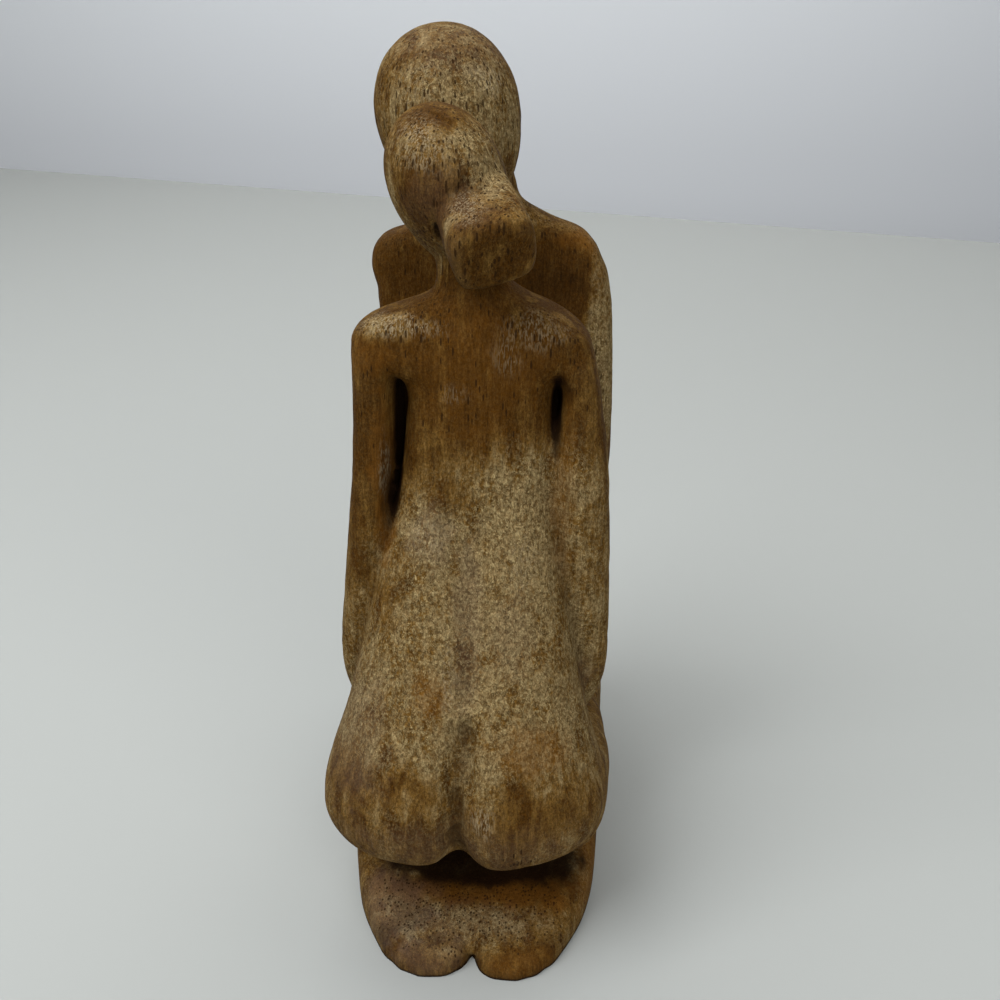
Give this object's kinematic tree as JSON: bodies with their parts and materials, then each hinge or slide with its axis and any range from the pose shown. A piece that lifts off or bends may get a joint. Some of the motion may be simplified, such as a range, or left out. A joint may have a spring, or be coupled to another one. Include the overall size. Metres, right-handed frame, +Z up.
{
  "type": "kissing couple statue",
  "caption": "Wooden carving of a slim couple who kneel face to face and kiss, knees joined, the woman's hair in a knob.",
  "frame": {"origin": "centre of the bounding box in X and Y, on the underside", "axes": "+Z up along the grain and the figures' height; the woman kneels on the -Y side with her back to -Y, the man on the +Y side; +X to the right of a viewer who looks at her back"},
  "size_m": [0.0674, 0.1142, 0.2],
  "materials": {
    "carved_wood": "worn, waxed and mottled, with open pores along the grain"
  },
  "bodies": {
    "root": {"kissing_couple": "carved_wood"}
  },
  "joints": []
}
